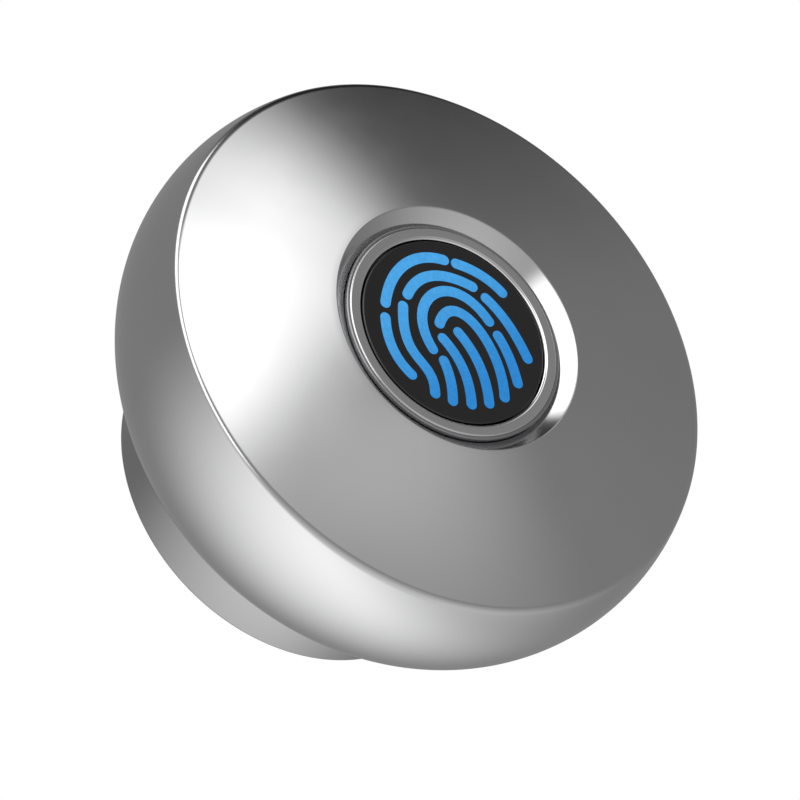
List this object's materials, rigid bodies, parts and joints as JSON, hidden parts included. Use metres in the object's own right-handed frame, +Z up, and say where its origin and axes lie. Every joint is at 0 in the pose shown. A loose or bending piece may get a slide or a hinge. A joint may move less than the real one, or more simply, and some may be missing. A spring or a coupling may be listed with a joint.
{
  "type": "fingerprint turn knob",
  "caption": "Round metal turn knob with a lit fingerprint sensor in a finger recess on its front, a clutch inside and a square spindle socket in its neck.",
  "frame": {"origin": "centre of the back mounting face, on the turning axis", "axes": "+Y into the door along the turning axis, front face towards -Y, +Z up"},
  "size_m": [0.048, 0.0265, 0.048],
  "materials": {
    "body_metal": "satin metal, very fine even grain",
    "neck_metal": "satin metal",
    "bezel_metal": "polished ring",
    "window_glass": "black gloss",
    "lit_ink": "blue lit symbol",
    "rubber": "matt",
    "nylon": "matt",
    "spring_steel": "satin",
    "screw_steel": "satin",
    "brass": "machined",
    "bronze": "sintered",
    "clear_plastic": "clear, edge lit",
    "black_plastic": "matt",
    "chip_black": "matt",
    "led_lens": "clear lens",
    "board_green": "solder mask",
    "connector_ivory": "matt",
    "flex_amber": "polyimide film",
    "cell_steel": "bright nickel",
    "gold_contact": "gold flash",
    "coil_copper": "enamelled wire",
    "lead_red": "matt"
  },
  "bodies": {
    "neck": {"neck_base": "neck_metal", "back_gasket": "rubber", "thrust_washer": "nylon", "retaining_ring": "spring_steel", "stop_pin": "spring_steel"},
    "knob": {"knob_shell": "body_metal", "rear_cover": "body_metal", "cover_seal": "rubber", "cover_screws": "screw_steel", "bearing_bush": "bronze", "sensor_bezel": "bezel_metal", "sensor_window": "window_glass", "fingerprint_icon": "lit_ink", "window_gasket": "rubber", "light_guide": "clear_plastic", "sensor_spacer": "black_plastic", "sensor_chip": "chip_black", "sensor_leds": "led_lens", "sensor_board": "board_green", "sensor_retainer": "screw_steel", "retainer_screws": "screw_steel", "sensor_cable": "flex_amber", "main_board": "board_green", "board_chips": "chip_black", "board_connector": "connector_ivory", "board_screws": "screw_steel", "buzzer": "black_plastic", "battery_cell": "cell_steel", "battery_holder": "black_plastic", "battery_contacts": "gold_contact", "solenoid_frame": "screw_steel", "solenoid_coil": "coil_copper", "solenoid_leads": "lead_red", "plunger_spring": "spring_steel"},
    "hub": {"drive_hub": "brass"},
    "clutch": {"clutch_plunger": "spring_steel"}
  },
  "joints": [
    {"name": "knob_turn", "type": "hinge", "parent": "neck", "child": "knob", "pos_m": [0, 0, 0], "axis": [0, -1, 0], "range_deg": [-90, 90]},
    {"name": "hub_turn", "type": "hinge", "parent": "neck", "child": "hub", "pos_m": [0, 0, 0], "axis": [0, -1, 0], "range_deg": [-90, 90]},
    {"name": "plunger_slide", "type": "slide", "parent": "knob", "child": "clutch", "axis": [0, 0, 1], "range_m": [0, 0.002], "stiffness_N_per_m": 150, "springref_m": -0.002, "deforming": ["plunger_spring"]}
  ],
  "couplings": [
    {"joint": "hub_turn", "follows": "knob_turn", "ratio": 1}
  ]
}
